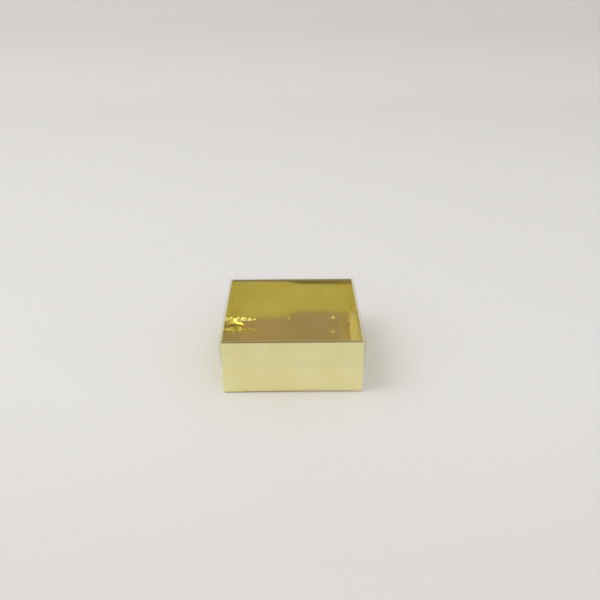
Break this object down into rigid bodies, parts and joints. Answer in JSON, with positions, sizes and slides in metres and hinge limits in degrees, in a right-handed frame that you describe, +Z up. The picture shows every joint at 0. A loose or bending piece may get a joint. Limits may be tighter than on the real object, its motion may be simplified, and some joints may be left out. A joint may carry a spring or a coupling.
{
  "type": "favor box",
  "caption": "Square favor box: an open tray of folded mirror-gold card with rolled front and back rims, closed by a clear folded-film lid that lifts straight off.",
  "frame": {"origin": "middle of the box, on the surface that it stands on", "axes": "+Z up through the lid, -Y towards the front, +X to the right as seen from the front"},
  "size_m": [0.0618, 0.0618, 0.0265],
  "materials": {
    "gold_card": "polished",
    "clear_film": "polished"
  },
  "bodies": {
    "tray": {"floor_panel": "gold_card", "left_wall": "gold_card", "right_wall": "gold_card", "front_outer_wall": "gold_card", "back_outer_wall": "gold_card", "front_rim": "gold_card", "back_rim": "gold_card", "front_left_flap": "gold_card", "front_right_flap": "gold_card", "back_left_flap": "gold_card", "back_right_flap": "gold_card"},
    "front_panel": {"front_inner_wall": "gold_card"},
    "back_panel": {"back_inner_wall": "gold_card"},
    "lid": {"lid_top_panel": "clear_film", "lid_front_skirt": "clear_film", "lid_back_skirt": "clear_film", "lid_left_skirt": "clear_film", "lid_right_skirt": "clear_film", "lid_front_left_tab": "clear_film", "lid_front_right_tab": "clear_film", "lid_back_left_tab": "clear_film", "lid_back_right_tab": "clear_film"}
  },
  "joints": [
    {"name": "lid_lift", "type": "slide", "parent": "tray", "child": "lid", "axis": [0, 0, 1], "range_m": [0, 0.04]},
    {"name": "front_panel_fold", "type": "hinge", "parent": "tray", "child": "front_panel", "pos_m": [0, -0.02877, 0.0249], "axis": [-1, 0, 0], "range_deg": [-90, 0]},
    {"name": "back_panel_fold", "type": "hinge", "parent": "tray", "child": "back_panel", "pos_m": [0, 0.02877, 0.0249], "axis": [1, 0, 0], "range_deg": [-90, 0]}
  ]
}
